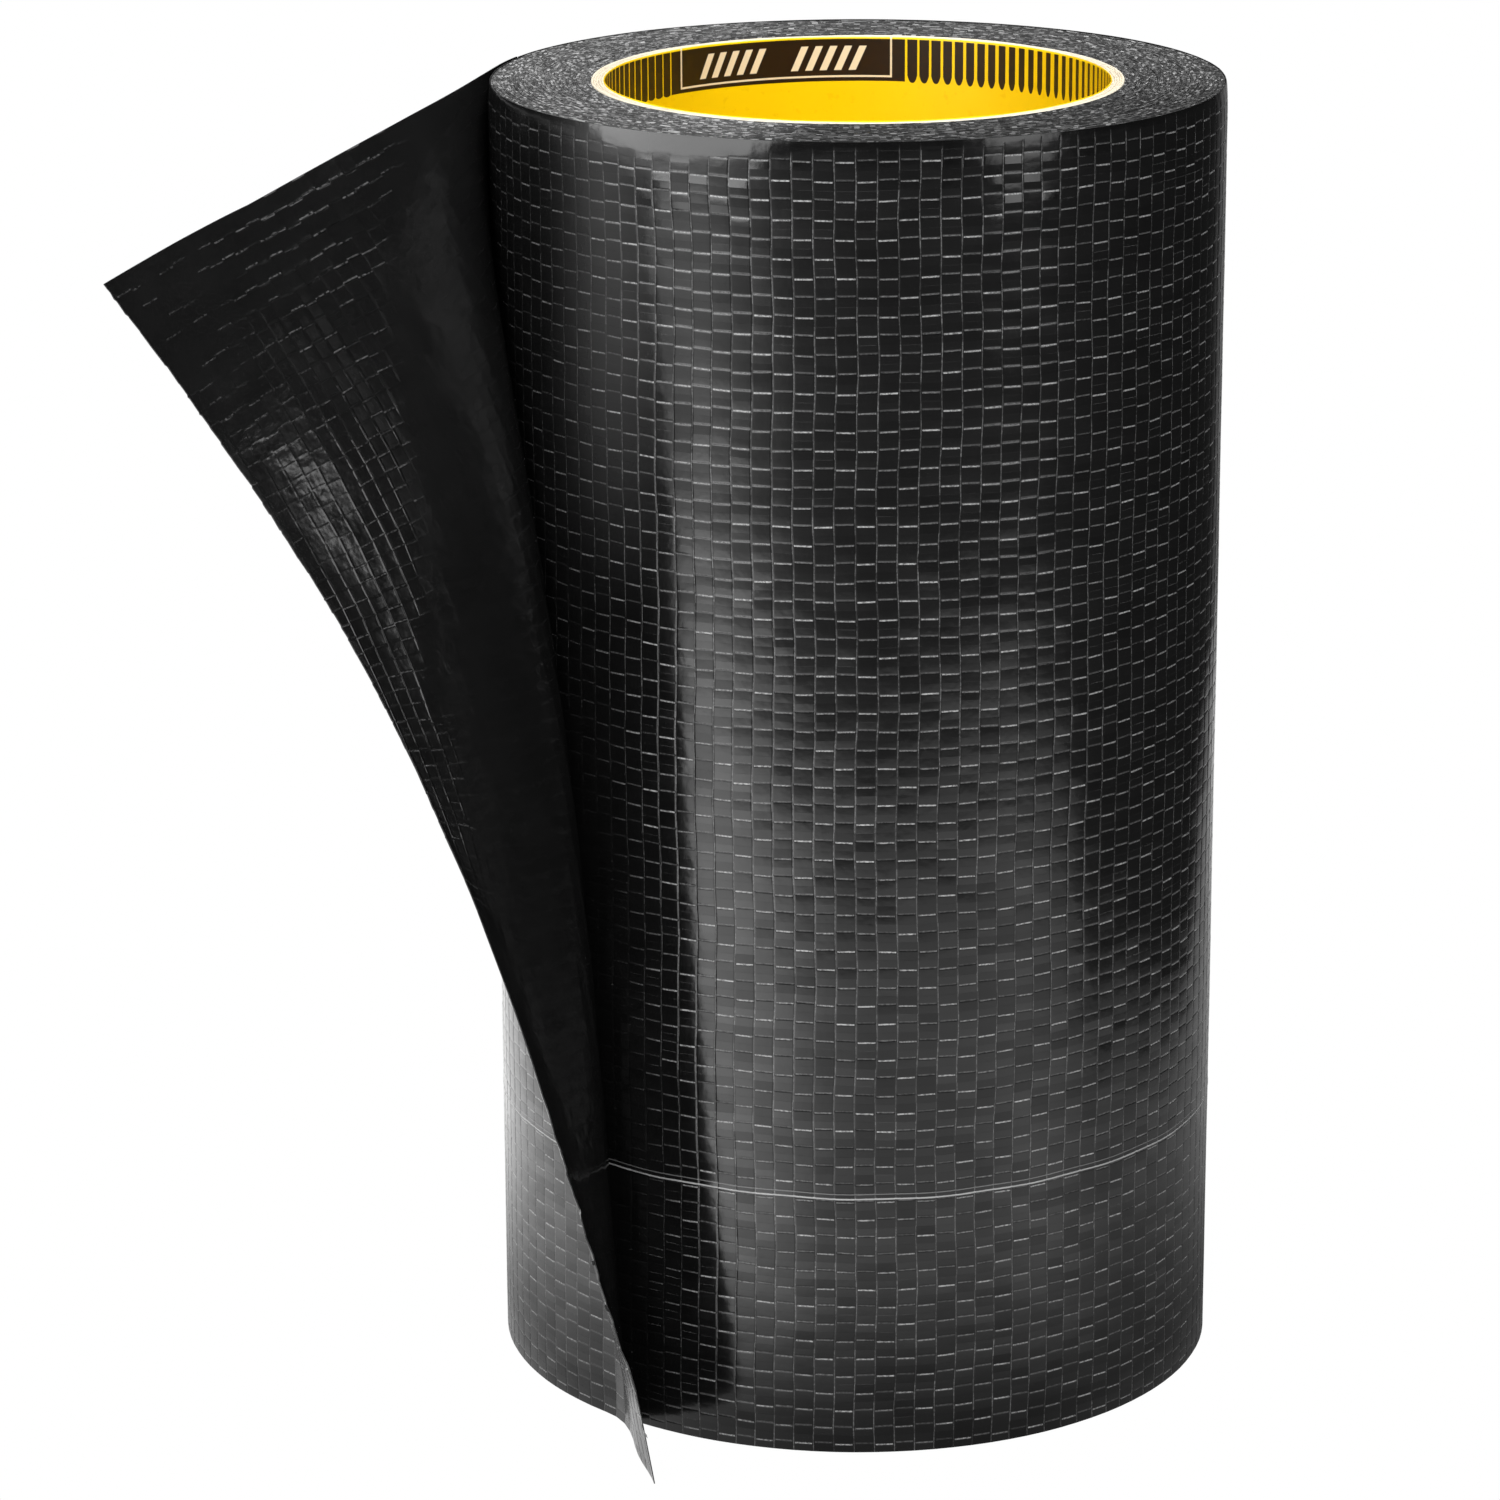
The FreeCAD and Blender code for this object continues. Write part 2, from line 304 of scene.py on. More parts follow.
def ring_object(name, profile, steps, material, order):
    """Closed ring swept from a profile of (radius, height) points."""
    theta = np.arange(0, TAU, TAU / steps)[:, None]
    radius, height = np.array(profile).T
    height = soften_rims(theta, height, order)
    ring = np.stack([radius * np.cos(theta), radius * np.sin(theta), height], -1)
    points = len(profile)
    faces = []
    for i in range(steps):
        here, there = i * points, (i + 1) % steps * points
        for j in range(points):
            beside = (j + 1) % points
            faces.append([here + j, there + j, there + beside, here + beside])
    return make_object(name, ring.reshape(-1, 3), faces, None, None, (material,))


# ---- material graphs
class Graph:
    """Short calls for building a node material."""

    def __init__(self, name):
        self.material = bpy.data.materials.new(name)
        self.material.use_nodes = True
        self.tree = self.material.node_tree
        self.shader = self.tree.nodes["Principled BSDF"]

    def node(self, kind, inputs=None, **settings):
        made = self.tree.nodes.new(kind)
        for key, value in settings.items():
            setattr(made, key, value)
        for key, value in (inputs or {}).items():
            self.put(made.inputs[key], value)
        return made

    def put(self, socket, value):
        if isinstance(value, bpy.types.NodeSocket):
            self.tree.links.new(value, socket)
        else:
            socket.default_value = value

    def math(self, operation, *values):
        made = self.node("ShaderNodeMath", operation=operation)
        for i, value in enumerate(values):
            self.put(made.inputs[i], value)
        return made.outputs[0]

    def add(self, a, b):
        return self.math("ADD", a, b)

    def sub(self, a, b):
        return self.math("SUBTRACT", a, b)

    def mul(self, a, b):
        return self.math("MULTIPLY", a, b)

    def apart(self, a, b):
        """Distance between two values."""
        return self.math("ABSOLUTE", self.sub(a, b))

    def fall(self, value, start, end):
        """1 below start, falling to 0 at end."""
        made = self.node("ShaderNodeMapRange", interpolation_type="SMOOTHSTEP")
        for key, entry in ((0, value), (1, start), (2, end), (3, 1.0), (4, 0.0)):
            self.put(made.inputs[key], entry)
        return made.outputs[0]

    def remap(self, value, low, high, to_low, to_high):
        made = self.node("ShaderNodeMapRange")
        for key, entry in enumerate((value, low, high, to_low, to_high)):
            self.put(made.inputs[key], entry)
        return made.outputs[0]

    def attribute(self, name):
        return self.node("ShaderNodeAttribute", attribute_name=name).outputs["Fac"]

    def join(self, x, y, z=0.0):
        made = self.node("ShaderNodeCombineXYZ")
        for i, value in enumerate((x, y, z)):
            self.put(made.inputs[i], value)
        return made.outputs[0]

    def noise(self, vector, scale, detail=2.0, roughness=0.5):
        inputs = {"Scale": scale, "Detail": detail, "Roughness": roughness, "Vector": vector}
        return self.node("ShaderNodeTexNoise", inputs).outputs["Fac"]

    def random(self, vector):
        made = self.node("ShaderNodeTexWhiteNoise", {"Vector": vector}, noise_dimensions="3D")
        return made.outputs["Value"]

    def mix(self, share, first, second):
        made = self.node("ShaderNodeMix", data_type="RGBA")
        self.put(made.inputs[0], share)
        self.put(made.inputs[6], first)
        self.put(made.inputs[7], second)
        return made.outputs[2]

    def blend(self, share, first, second):
        return self.add(first, self.mul(share, self.sub(second, first)))

    def steps(self, value, points, low, high, top):
        """Piecewise linear curve through (value, height) points, heights from 0 to top."""
        made = self.node("ShaderNodeValToRGB")
        ramp = made.color_ramp
        while len(ramp.elements) < len(points):
            ramp.elements.new(0.5)
        for element, (x, y) in zip(ramp.elements, points):
            element.position = (x - low) / (high - low)
            element.color = (y / top, y / top, y / top, 1.0)
        self.put(made.inputs[0], self.math("DIVIDE", self.sub(value, low), high - low))
        return self.mul(made.outputs[0], top)

    def polar(self, place):
        """Distance from the roll's axis, and the place's x, y and z."""
        x, y, z = self.node("ShaderNodeSeparateXYZ", {0: place}).outputs
        return self.math("SQRT", self.add(self.mul(x, x), self.mul(y, y))), x, y, z

    def bump(self, height, distance):
        inputs = {"Height": height, "Distance": distance, "Strength": 1.0}
        return self.node("ShaderNodeBump", inputs).outputs[0]

    def place(self):
        return self.node("ShaderNodeTexCoord").outputs["Object"]

    def finish(self, **inputs):
        for key, value in inputs.items():
            self.put(self.shader.inputs[key.replace("_", " ")], value)
        return self.material


def grey(value, warm=0.0):
    return (value * (1 + warm), value, value * (1 - warm), 1.0)


def weave_masks(g):
    """Woven ribbon pattern by place on the tape, shared by the film and adhesive."""
    u, v = g.attribute("tape_u"), g.attribute("tape_v")
    across = g.math("DIVIDE", u, COLUMN)
    column = g.math("FLOOR", across)
    part = g.sub(across, column)
    from_middle = g.apart(part, 0.5)
    edge_u = g.mul(g.sub(0.5, from_middle), COLUMN)
    dive_u = g.math("POWER", g.mul(from_middle, 2.0), 2.0)
    parity = g.math("MODULO", g.add(column, 1000.0), 2.0)
    shifted = g.sub(v, g.mul(parity, ROW))
    fold = g.math("PINGPONG", shifted, ROW)
    weft = g.math("LESS_THAN", fold, WEFT_HALF)
    edge_v = g.apart(fold, WEFT_HALF)
    row = g.math("FLOOR", g.math("DIVIDE", v, ROW))
    period = g.math("DIVIDE", shifted, 2 * ROW)
    upper = g.math("LESS_THAN", g.sub(period, g.math("FLOOR", period)), 0.5)
    return {
        "u": u, "v": v, "column": column, "row": row, "edge_u": edge_u, "edge_v": edge_v,
        "dive_u": dive_u, "fold": fold, "weft": weft, "upper": upper,
    }


# Pale lines on the tape: the film's are partly its paler stretched edges and partly painted glints;
# the adhesive's are painted glints.
LINE_RISE = 0.022  # ridge along each bright line of the film
FILM_LINE_TONE_AND_GLINT, ADHESIVE_GLINTS, THREAD_ENDS = 0.45, 0.14, 0.42  # how pale they are


def film_material():
    """Glossy black film over the woven ribbons, with painted glints on its lines and painted light
    and shade by place.
    """
    g = Graph("black_film")
    w = weave_masks(g)
    flat = g.join(w["u"], w["v"])
    smooth_band = g.attribute("selvedge")
    woven = g.sub(1.0, smooth_band)
    cell = g.random(g.join(w["column"], w["row"], 3.0))
    other = g.random(g.join(w["column"], w["row"], 8.0))
    patches = g.noise(flat, 0.16, 3.0, 0.6)
    fine = g.noise(flat, 2.3, 3.0, 0.6)

    # Pale lines along the ribbons' edges and the pressed seam: partly paler stretched film, partly
    # painted glints, brighter on alternate rows.
    line_h = g.mul(g.fall(w["edge_v"], 0.05, 0.17), g.sub(1.0, g.fall(w["edge_u"], 0.16, 0.30)))
    line_u = g.fall(w["edge_u"], 0.035, 0.13)
    strong = g.mul(g.blend(w["upper"], 0.28, 1.0), g.remap(cell, 0.1, 0.9, 0.35, 1.0))
    strong_u = g.remap(other, 0.2, 1.0, 0.15, 0.8)
    broken = g.remap(fine, 0.38, 0.6, 0.30, 1.0)
    lines = g.math("MAXIMUM", g.mul(line_h, strong), g.mul(g.mul(line_u, strong_u), 0.42))
    # Painted shade: the lines are dimmed near the tail, by the tape attribute.
    lines = g.mul(g.mul(g.mul(lines, woven), broken), g.attribute("bright"))
    seam = g.mul(g.fall(g.apart(w["v"], SEAM_HEIGHT), 0.06, 0.18), 0.9)
    beside_seam = g.mul(g.fall(g.apart(w["v"], SEAM_HEIGHT + 0.75), 0.03, 0.12), 0.3)
    lines = g.math("MAXIMUM", lines, g.math("MAXIMUM", seam, beside_seam))

    groove = g.math("MAXIMUM", g.fall(w["edge_v"], 0.0, 0.26), g.fall(w["edge_u"], 0.0, 0.26))
    dive_v = g.math("POWER", g.math("DIVIDE", g.sub(ROW, w["fold"]), ROW - WEFT_HALF), 2.0)
    crown = g.blend(w["weft"], g.math("MINIMUM", dive_v, 1.0), w["dive_u"])
    height = g.mul(g.add(g.mul(groove, -0.03), g.mul(crown, -0.010)), woven)
    raised = g.mul(g.attribute("lift"), g.blend(w["weft"], 0.3, 1.0))
    raised = g.mul(raised, g.remap(other, 0.25, 0.7, 0.04, 0.20))
    roof = g.sub(g.mul(g.sub(cell, 0.5), 0.045), raised)
    tilt = g.mul(roof, g.sub(w["fold"], WEFT_HALF))
    height = g.add(g.add(height, g.mul(tilt, woven)), g.mul(lines, LINE_RISE))
    height = g.add(height, g.mul(g.noise(flat, 0.35, 2.0, 0.5), 0.05))
    height = g.add(height, g.mul(fine, 0.004))

    base = g.mix(patches, grey(0.0022), grey(0.0045))
    # Painted light: the base is lifted to pale grey over a patch high on the turn.
    base = g.mix(g.attribute("dull"), base, grey(0.030))
    colour = g.mix(g.mul(lines, 0.8), base, grey(FILM_LINE_TONE_AND_GLINT))
    shine = g.add(g.remap(other, 0.0, 1.0, 0.40, 0.60), g.mul(w["weft"], 0.06))
    shine = g.blend(smooth_band, shine, 0.55)
    roughness = g.add(g.remap(patches, 0.3, 0.7, 0.12, 0.18), g.mul(lines, 0.22))
    roughness = g.add(roughness, g.mul(fine, 0.03))
    return g.finish(
        Base_Color=colour, Roughness=roughness, IOR=1.5, Specular_IOR_Level=shine,
        Normal=g.bump(height, MM),
    )


def adhesive_material():
    """Wet-looking black adhesive with the weave showing through it, and painted glints on its
    lines.
    """
    g = Graph("black_adhesive")
    w = weave_masks(g)
    flat = g.join(w["u"], w["v"])
    imprint = g.attribute("imprint")
    patches = g.noise(flat, 0.13, 3.0, 0.6)
    fine = g.noise(flat, 1.6, 3.0, 0.6)
    groove = g.math("MAXIMUM", g.fall(w["edge_v"], 0.0, 0.4), g.fall(w["edge_u"], 0.0, 0.4))
    height = g.add(g.mul(groove, 0.10), g.mul(w["dive_u"], 0.05))
    cell = g.random(g.join(w["column"], w["row"], 5.0))
    height = g.add(height, g.mul(g.mul(g.sub(cell, 0.5), g.sub(w["fold"], WEFT_HALF)), 0.12))
    height = g.mul(height, imprint)
    height = g.add(height, g.mul(g.noise(flat, 0.30, 2.0, 0.5), 0.16))
    height = g.add(height, g.mul(fine, 0.012))
    base = g.mix(patches, grey(0.003), grey(0.006))
    # Painted glints: pale dashes along the imprinted lines.
    lines = g.mul(g.fall(w["edge_v"], 0.05, 0.18), g.remap(cell, 0.35, 0.9, 0.0, 1.0))
    lines = g.mul(g.mul(lines, g.remap(fine, 0.40, 0.62, 0.0, 1.0)), g.math("POWER", imprint, 0.5))
    base = g.mix(g.mul(lines, 0.6), base, grey(ADHESIVE_GLINTS))
    roughness = g.remap(patches, 0.3, 0.7, 0.10, 0.20)
    return g.finish(Base_Color=base, Roughness=roughness, IOR=1.5, Normal=g.bump(height, MM))


def edge_material():
    """Cut edge of the tape: dark cloth with pale thread ends."""
    g = Graph("tape_cut_edge")
    place = g.place()
    threads = g.noise(place, 2600.0, 2.0, 0.7)
    specks = g.fall(g.noise(place, 1900.0, 1.0, 0.5), 0.28, 0.34)
    base = g.mix(threads, grey(0.006), grey(0.016))
    colour = g.mix(g.mul(specks, 0.4), base, grey(0.12))
    roughness = g.remap(threads, 0.3, 0.7, 0.35, 0.6)
    return g.finish(Base_Color=colour, Roughness=roughness, Normal=g.bump(threads, 0.05 * MM))


def torn_material():
    """Torn ribbon ends, dark with pale streaks."""
    g = Graph("torn_ribbon")
    streaks = g.noise(g.place(), 1500.0, 2.0, 0.6)
    colour = g.mix(streaks, grey(0.008), grey(0.10))
    return g.finish(Base_Color=colour, Roughness=g.remap(streaks, 0.3, 0.7, 0.15, 0.35), IOR=1.5)


# Painted light and shade on the wound edges by angle (degrees from the x axis), lighter on the left
# and darker at the front; and thread ends per radian
EDGE_PAINTED_LIGHT = (
    (-180, 1.6), (-112, 1.6), (-98, 0.55), (-30, 0.62), (0, 0.95), (90, 0.95), (180, 1.6),
)
THREADS_PER_RADIAN = 55.0


def pack_material():
    """Edges of the wound turns: fine dark rings with pale fibre specks, and painted light and shade
    by angle round the roll.
    """
    g = Graph("wound_edges")
    distance, x, y, _ = g.polar(g.place())
    radius = g.math("DIVIDE", distance, MM)
    angle = g.math("ARCTAN2", y, x)
    turn = g.math("FLOOR", g.math("DIVIDE", radius, PITCH))
    across, up = g.math("COSINE", angle), g.math("SINE", angle)
    around = g.join(g.mul(across, 9.0), g.mul(up, 9.0), g.mul(turn, 7.3))
    shade = g.noise(around, 1.1, 3.0, 0.6)
    rings = g.noise(g.join(g.mul(radius, 3.2), 0.0, 0.0), 1.0, 2.0, 0.6)
    thread_place = g.join(g.mul(across, 85.0), g.mul(up, 85.0), g.mul(radius, 3.1))
    painted_light = g.steps(g.mul(angle, 360.0 / TAU), EDGE_PAINTED_LIGHT, -180.0, 180.0, 2.0)
    specks = g.fall(g.noise(thread_place, 0.8, 2.0, 0.55), 0.36, 0.44)
    thread = g.random(g.join(turn, g.math("FLOOR", g.mul(angle, THREADS_PER_RADIAN)), 4.0))
    glint = g.math("POWER", thread, 10.0)
    base = g.blend(shade, 0.019, 0.064)
    base = g.blend(g.remap(rings, 0.35, 0.65, 0.0, 0.6), base, 0.085)
    # Painted light and shade by angle on the base and on the pale specks.
    base = g.mul(g.mul(base, g.remap(thread, 0.0, 1.0, 0.55, 1.35)), painted_light)
    pale = g.mul(g.math("MAXIMUM", g.mul(specks, 0.35), glint), painted_light)
    colour = g.mix(pale, base, grey(THREAD_ENDS))
    grain = g.add(g.mul(rings, 0.6), g.mul(g.noise(thread_place, 2.2, 2.0, 0.6), 0.7))
    return g.finish(
        Base_Color=colour, Roughness=g.remap(shade, 0.3, 0.7, 0.5, 0.75),
        Specular_IOR_Level=0.12, Normal=g.bump(grain, 0.12 * MM),
    )


def board_material(name, light, dark, speck):
    """Paperboard with its fibres."""
    g = Graph(name)
    place = g.place()
    fibre = g.noise(place, 900.0, 4.0, 0.65)
    patch = g.noise(place, 120.0, 2.0, 0.5)
    base = g.mix(fibre, dark, light)
    colour = g.mix(g.fall(patch, 0.30, 0.40), base, speck)
    roughness = g.remap(fibre, 0.3, 0.7, 0.75, 0.95)
    return g.finish(Base_Color=colour, Roughness=roughness, Normal=g.bump(fibre, 0.12 * MM))


# The liner's print. Places round the bore are in degrees, heights in millimetres below the rim.
PANEL_CENTRE, PANEL_HALF = -19.0, 30.3
BAND_HEIGHT = 7.0
BAR_STEP = 360.0 / 124
FRAME_INSET, FRAME_FOOT = 3.2, 6.35
STRIPE_LEVEL, STRIPE_SLANT, STRIPE_STEP = 3.35, 0.45, 2.3
STRIPE_ROWS = ((-6.0, -1.0), (1.0, 6.0))  # first and last stripe, counted from the panel's centre
BORE_DEGREE = BORE_RADIUS * TAU / 360


def liner_material():
    """Yellow printed liner with a dark band of bars and a panel of plain marks at the top."""
    g = Graph("printed_liner")
    _, x, y, z = g.polar(g.place())
    turn = g.mul(g.math("ARCTAN2", x, y), 360.0 / TAU)
    depth = g.sub(WIDTH, g.math("DIVIDE", z, MM))
    paper = g.noise(g.place(), 700.0, 3.0, 0.6)
    clouds = g.noise(g.place(), 45.0, 2.0, 0.5)

    beside = g.sub(turn, PANEL_CENTRE)
    away = g.sub(g.math("ABSOLUTE", beside), PANEL_HALF)
    step = g.math("DIVIDE", turn, BAR_STEP)
    middle = g.apart(g.sub(step, g.math("FLOOR", step)), 0.5)
    right_share = g.remap(away, 2.0, 75.0, 0.84, 0.30)
    left_share = g.remap(away, 2.0, 75.0, 0.90, 0.62)
    on_right = g.math("GREATER_THAN", beside, 0.0)
    share = g.blend(on_right, left_share, right_share)
    half_bar = g.mul(share, 0.5)
    taper = g.math("POWER", g.math("MINIMUM", g.math("DIVIDE", middle, half_bar), 1.0), 2.5)
    bar_end = g.sub(BAND_HEIGHT + 0.2, g.mul(g.mul(taper, g.blend(on_right, 0.25, 1.0)), 1.2))
    bar = g.fall(g.sub(middle, half_bar), -0.02, 0.02)
    bar = g.mul(bar, g.fall(g.sub(depth, bar_end), -0.06, 0.06))

    panel = g.mul(g.fall(away, -0.08, 0.08), g.fall(depth, BAND_HEIGHT - 0.05, BAND_HEIGHT + 0.08))
    ink = g.math("MAXIMUM", panel, g.mul(bar, g.sub(1.0, g.fall(away, 0.25, 0.45))))

    # thin frame inside the panel
    from_side = g.mul(g.sub(-FRAME_INSET, away), BORE_DEGREE)
    inset = g.math("MINIMUM", from_side, g.sub(FRAME_FOOT, depth))
    frame_line = g.mul(g.fall(inset, 0.2, 0.3), g.sub(1.0, g.fall(inset, -0.10, 0.0)))
    frame_line = g.mul(frame_line, panel)

    # plain marks: two rows of slanted stripes
    arc = g.mul(beside, BORE_DEGREE)
    level = g.sub(depth, STRIPE_LEVEL)
    slanted = g.math("DIVIDE", g.add(arc, g.mul(level, STRIPE_SLANT)), STRIPE_STEP)
    stripe = g.apart(g.sub(slanted, g.math("FLOOR", slanted)), 0.5)
    marks = g.mul(g.fall(stripe, 0.23, 0.27), g.fall(g.math("ABSOLUTE", level), 1.85, 1.97))
    rows_of_marks = 0.0
    for first, last in STRIPE_ROWS:
        centre, half = (first + last) / 2, (last - first) / 2
        one_row = g.fall(g.apart(slanted, centre), half, half + 0.01)
        rows_of_marks = g.add(rows_of_marks, one_row)
    marks = g.mul(marks, rows_of_marks)
    pale = g.math("MAXIMUM", frame_line, marks)

    yellow = g.mix(clouds, (0.93, 0.62, 0.002, 1), (1.0, 0.70, 0.003, 1))
    yellow = g.mix(g.mul(g.fall(paper, 0.30, 0.42), 0.35), yellow, (0.82, 0.50, 0.002, 1))
    ink = g.mul(ink, g.sub(1.0, g.fall(depth, 0.25, 0.40)))
    colour = g.mix(ink, yellow, (0.017, 0.010, 0.005, 1))
    colour = g.mix(pale, colour, (0.86, 0.74, 0.50, 1))
    roughness = g.remap(paper, 0.3, 0.7, 0.38, 0.52)
    return g.finish(Base_Color=colour, Roughness=roughness, Normal=g.bump(paper, 0.03 * MM))


TAPE_MATERIALS = (film_material(), adhesive_material(), edge_material())
TORN = torn_material()
PACK = pack_material()
FACE_BOARD = board_material(
    "face_board", (0.90, 0.84, 0.70, 1), (0.66, 0.58, 0.44, 1), (0.72, 0.62, 0.44, 1)
)
KRAFT = board_material(
    "core_board", (0.88, 0.81, 0.66, 1), (0.58, 0.49, 0.36, 1), (0.66, 0.55, 0.38, 1)
)
LINER_PRINT = liner_material()

# ---- last full turn on the roll
HALF_ONE = TURN_RADIUS * (math.pi - SPLICE_GAP)
SECOND_RADIUS = TURN_RADIUS + PITCH / 2
TURN_LENGTH = HALF_ONE + SECOND_RADIUS * math.pi
SECOND_CENTRE = direction(np.array(SPLICE)) * PITCH / 2


def turn_point(u, z, offset):
    """Point on the last turn, a length u from its start, offset outward from the film face."""
    first = u < HALF_ONE
    angle = np.where(
        first,
        SPLICE + SPLICE_GAP + u / TURN_RADIUS,
        SPLICE + math.pi + (u - HALF_ONE) / SECOND_RADIUS,
    )
    centre = np.where(first[..., None], 0.0, SECOND_CENTRE)
    radius = np.where(first, TURN_RADIUS, SECOND_RADIUS) + offset
    flat = centre + direction(angle) * radius[..., None]
    return np.concatenate([flat, z[..., None]], -1)


def grid_faces(rows, columns):
    """Quads of a grid whose rows go up and whose columns go along the tape."""
    faces = []
    for j in range(rows - 1):
        for low in range(j * columns, (j + 1) * columns - 1):
            faces.append([low, low + 1, low + columns + 1, low + columns])
    return faces


def make_turn():
    """The outer turn of tape: woven film face outside, plain inside."""
    u, v, groove = weave_grid(0.0, TURN_LENGTH)
    rows, columns = u.shape
    window = smooth(np.minimum(u, TURN_LENGTH - u) / 5.0)
    q, z = u + wobble(u, v)[0] * window, drifted(u, v)
    below = WIDTH - z
    offset = UNEVEN * (waves(q, z) - 1) - CURL * np.clip(1 - below / CURL_HEIGHT, 0, 1) ** 2
    offset = offset - 0.02 * smooth(1.0 - below) * (1 + np.sin(u / 3.1) * np.sin(u / 1.3))
    lift = LIFT_RISE * hump(u, LIFT_PLACE, LIFT_SPREAD)
    offset = offset + lift * np.sin(np.pi * np.clip(below / LIFT_HEIGHT, 0, 1))
    second = NEXT_RISE * hump(u, NEXT_PLACE, NEXT_SPREAD)
    offset = offset + second * np.sin(np.pi * np.clip((below - 1.5) / NEXT_HEIGHT, 0, 1)) ** 2
    offset = offset - LIP * np.clip(1 - below / LIP_HEIGHT, 0, 1) ** 2
    bare = turn_point(q, z, offset)
    outer = turn_point(q, z, offset - GROOVE * groove + seam_rise(v)).reshape(-1, 3)
    low = turn_point(q[0], np.zeros(columns), np.full(columns, -TAPE))
    high = turn_point(q[-1], np.full(columns, WIDTH), np.full(columns, -TAPE - CURL))
    faces = grid_faces(rows, columns)
    slots = [0] * len(faces)
    count = rows * columns
    top = (rows - 1) * columns
    for k in range(columns - 1):
        faces.append([k + 1, k, count + k, count + k + 1])
        faces.append([top + k, top + k + 1, count + columns + k + 1, count + columns + k])
        faces.append([count + k + 1, count + k, count + columns + k, count + columns + k + 1])
        slots.extend([2, 2, 1])
    left = [j * columns for j in range(rows)]
    right = [j * columns + columns - 1 for j in range(rows)]
    faces.append(left + [count + columns, count])
    faces.append(right[::-1] + [count + columns - 1, count + 2 * columns - 1])
    slots.extend([2, 2])
    points = np.concatenate([outer, low, high])
    # Painted shade on the film's pale lines: dimmed behind the tail's root, where the tail keeps
    # the light off, and along the first 60 mm of the turn.
    peel = np.array([[(peel_angle(share) - SPLICE) * TURN_RADIUS] for share in v[:, 0] / WIDTH])
    tail_shade_zone = (1 - smooth((u - peel - 8.0) / 12.0)) * smooth((0.75 - v / WIDTH) / 0.3)
    beside = 1 - smooth((u - 60.0) / 18.0)
    caught = hump(u, LIFT_PLACE + 7.0, 11.0) * hump(v, WIDTH - 8.0, 4.5)
    caught = caught + 0.9 * hump(u, NEXT_PLACE, 9.0) * hump(v, WIDTH - 7.5, 5.0)
    # Painted light: a patch high on the turn, about 68 mm along it, where the film's base colour is
    # lifted.
    dull = hump(u, 68.0, 9.0) * smooth((v - 125.0) / 45.0)
    bright = (1 - 0.97 * tail_shade_zone) * (1 - 0.55 * beside)
    flat = np.zeros(2 * columns)
    attributes = {
        "tape_u": np.concatenate([u.ravel(), u[0], u[-1]]),
        "tape_v": np.concatenate([v.ravel(), v[0], v[-1]]),
        "selvedge": np.concatenate([selvedge_share(u, v).ravel(), flat + 1]),
        "imprint": np.zeros(count + 2 * columns),
        "bright": np.concatenate([bright.ravel(), flat + 1]),
        "lift": np.concatenate([caught.ravel(), flat]),
        "dull": np.concatenate([dull.ravel(), flat]),
    }
    obj = make_object("outer_turn", points, faces, attributes, slots, TAPE_MATERIALS)
    normals = np.concatenate([grid_normals(bare).reshape(-1, 3), np.zeros((2 * columns, 3))])
    soften_shading(obj.data, normals, (0,))
    on_roll(obj, "tape_film", "outer_turn_film", "outer_turn_cloth", "outer_turn_adhesive")
    return obj


# ---- the loose tail
def bezier(t, controls):
    """Points at t on the Bezier curve of the control points."""
    t = np.asarray(t)[:, None]
    controls = [np.asarray(c, float)[None, :] + 0 * t for c in controls]
    while len(controls) > 1:
        controls = [a * (1 - t) + b * t for a, b in zip(controls, controls[1:])]
    return controls[0]


def peel_angle(share):
    angle, slope, run_out, power = PEEL
    return math.radians(angle - slope * share**2 - run_out * share**power)


def run_lengths(points):
    """Length of a line of points from its start to each point."""
    return np.concatenate([[0], np.cumsum(np.linalg.norm(np.diff(points, axis=0), axis=1))])


def tail_row(share, runs):
    """Middle-plane points at lengths from the splice, the row's full and bonded lengths."""
    angle = peel_angle(share)
    start = MIDDLE * direction(np.array(angle))
    end = bezier([share], CUT_EDGE)[0]
    reach = np.linalg.norm(end[:2] - start)
    lead = np.array((-math.sin(angle), math.cos(angle))) * (LEAD + LEAD_GAIN * share ** PEEL[3])
    heading = math.radians(END_HEADINGS[0] + (END_HEADINGS[1] - END_HEADINGS[0]) * share)
    pull = end[:2] - np.array((math.cos(heading), math.sin(heading))) * END_STIFFNESS * reach
    controls = (start, start + lead, start + 2 * lead, pull, end[:2])
    curve = bezier(np.linspace(0, 1, CURVE_STEPS + 1), controls)
    along = run_lengths(curve)
    along = along / along[-1]
    height = WIDTH * share + (end[2] - WIDTH * share) * along**2
    height = height - EDGE_SAG * share**3 * along**2 * (1 - along)
    curve = np.concatenate([curve, height[:, None]], 1)
    lengths = run_lengths(curve)
    bonded = (angle - SPLICE - SPLICE_GAP) * MIDDLE
    total = bonded + lengths[-1]
    arc = SPLICE + SPLICE_GAP + np.minimum(runs, bonded) / MIDDLE
    row = np.column_stack([MIDDLE * direction(arc), np.full(len(runs), WIDTH * share)])
    free = np.clip(runs - bonded, 0, lengths[-1])
    beyond = (runs - total)[:, None]
    for axis in range(3):
        lifted = np.interp(free, lengths, curve[:, axis])
        row[:, axis] = np.where(runs > bonded, lifted, row[:, axis])
    tangent = (curve[-1] - curve[-2]) / np.linalg.norm(curve[-1] - curve[-2])
    return np.where(beyond > 0, row + tangent * beyond, row), total, bonded


def tip_turn(height):
    """How far the cut end is turned inward from the even sweep of the tail."""
    return np.interp(height, [p[0] for p in TIP_TURN], [p[1] for p in TIP_TURN])


